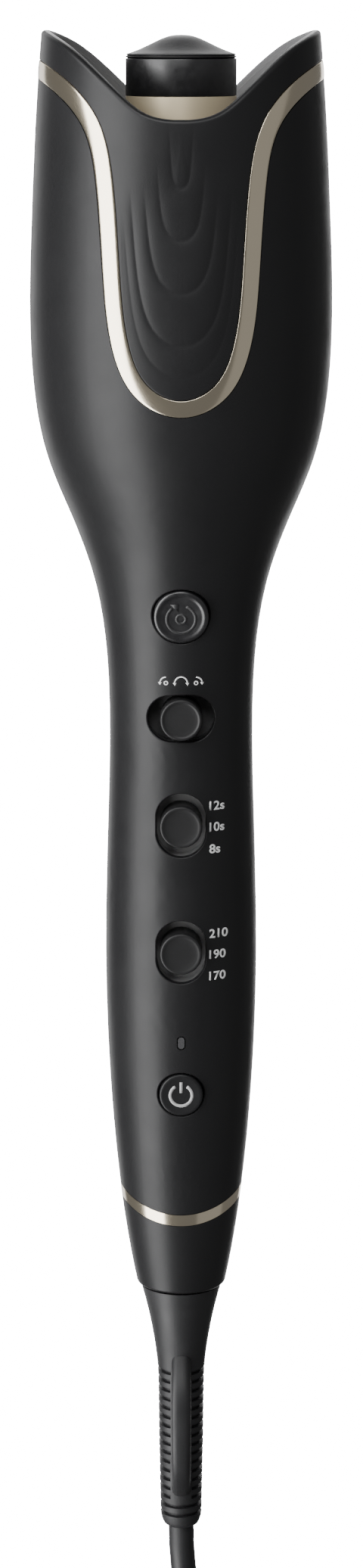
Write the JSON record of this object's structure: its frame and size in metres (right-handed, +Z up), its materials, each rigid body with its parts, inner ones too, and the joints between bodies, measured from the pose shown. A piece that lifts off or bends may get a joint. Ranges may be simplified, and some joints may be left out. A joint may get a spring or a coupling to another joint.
{
  "type": "automatic hair curler",
  "caption": "Handheld hair curler: heated barrel in an open notched chamber with a turning rotor, slim handle with button and sliders, swivel cord with plug.",
  "frame": {"origin": "on the handle's axis at the middle of the hand grip", "axes": "+Z up the handle towards the heated chamber, -Y towards the face with the buttons, +X to its right"},
  "size_m": [0.1843, 0.1554, 0.4656],
  "materials": {
    "body_plastic": "soft-touch satin",
    "trim_metal": "satin champagne gold",
    "barrel_metal": "satin champagne coating",
    "gloss_black": "gloss",
    "cap_plastic": "satin",
    "liner_plastic": "matte",
    "nylon": "matte",
    "gear_nylon": "matte",
    "ceramic_insulator": "matte",
    "heater_aluminium": "milled",
    "steel": "turned",
    "motor_steel": "plated",
    "bush_brass": "turned",
    "button_gloss": "gloss",
    "knob_plastic": "satin",
    "well_plastic": "matte",
    "switch_plastic": "matte",
    "board": "solder-resist",
    "lens": "translucent",
    "cord_rubber": "matte",
    "plug_plastic": "matte",
    "pin_metal": "nickel plated"
  },
  "bodies": {
    "handle": {"rim_collar": "body_plastic", "trim_band": "trim_metal", "tail_ring": "trim_metal", "front_housing": "body_plastic", "back_housing": "body_plastic", "housing_screw_1": "steel", "housing_screw_2": "steel", "chamber_liner": "liner_plastic", "chassis_plate": "nylon", "gearbox_base": "nylon", "barrel_stem": "steel", "barrel_base": "ceramic_insulator", "barrel_tube": "barrel_metal", "barrel_band": "gloss_black", "barrel_cap": "cap_plastic", "heater_core": "heater_aluminium", "heater_plate": "ceramic_insulator", "thermal_fuse": "steel", "idler_pin": "steel", "motor": "motor_steel", "direction_well": "well_plastic", "time_well": "well_plastic", "temperature_well": "well_plastic", "direction_switch": "switch_plastic", "time_switch": "switch_plastic", "temperature_switch": "switch_plastic", "main_board": "board", "start_switch": "switch_plastic", "power_switch": "switch_plastic", "lamp": "lens", "light_pipe": "lens", "power_module": "switch_plastic", "tail_cap": "body_plastic", "swivel_retainer": "nylon"},
    "rotor": {"winding_rotor": "liner_plastic", "rotor_bush": "bush_brass"},
    "idler": {"idler_gear": "gear_nylon"},
    "pinion": {"motor_pinion": "bush_brass", "motor_shaft": "steel"},
    "start_key": {"start_button": "button_gloss"},
    "power_key": {"power_button": "body_plastic"},
    "direction_slider": {"direction_knob": "knob_plastic"},
    "time_slider": {"time_knob": "knob_plastic"},
    "temperature_slider": {"temperature_knob": "knob_plastic"},
    "swivel": {"swivel_core": "nylon", "slip_rings": "bush_brass", "strain_relief": "cord_rubber", "cord_tube": "cord_rubber", "cord_coil": "cord_rubber", "cord_tail": "cord_rubber", "plug_body": "plug_plastic", "plug_pin_left": "pin_metal", "plug_pin_right": "pin_metal"}
  },
  "joints": [
    {"name": "rotor_spin", "type": "hinge", "parent": "handle", "child": "rotor", "pos_m": [0, 0, 0.125], "axis": [0, 0, 1], "continuous": true},
    {"name": "idler_spin", "type": "hinge", "parent": "handle", "child": "idler", "pos_m": [0, 0.0144, 0.11], "axis": [0, 0, 1], "continuous": true},
    {"name": "pinion_spin", "type": "hinge", "parent": "handle", "child": "pinion", "pos_m": [0, 0, 0.105], "axis": [0, 0, 1], "continuous": true},
    {"name": "start_press", "type": "slide", "parent": "handle", "child": "start_key", "axis": [0, 0.9816, 0.1908], "range_m": [0, 0.001], "stiffness_N_per_m": 400},
    {"name": "power_press", "type": "slide", "parent": "handle", "child": "power_key", "axis": [0, 0.9984, 0.0558], "range_m": [0, 0.0008], "stiffness_N_per_m": 400},
    {"name": "direction_slide", "type": "slide", "parent": "handle", "child": "direction_slider", "axis": [1, 0, 0], "range_m": [-0.0025, 0.0025]},
    {"name": "time_slide", "type": "slide", "parent": "handle", "child": "time_slider", "axis": [0, 0, 1], "range_m": [-0.0025, 0.0025]},
    {"name": "temperature_slide", "type": "slide", "parent": "handle", "child": "temperature_slider", "axis": [0, 0, 1], "range_m": [-0.0025, 0.0025]},
    {"name": "cord_swivel", "type": "hinge", "parent": "handle", "child": "swivel", "pos_m": [0, 0, -0.124], "axis": [0, 0, 1], "continuous": true}
  ],
  "couplings": [
    {"joint": "idler_spin", "follows": "rotor_spin", "ratio": 4},
    {"joint": "pinion_spin", "follows": "rotor_spin", "ratio": -8}
  ]
}
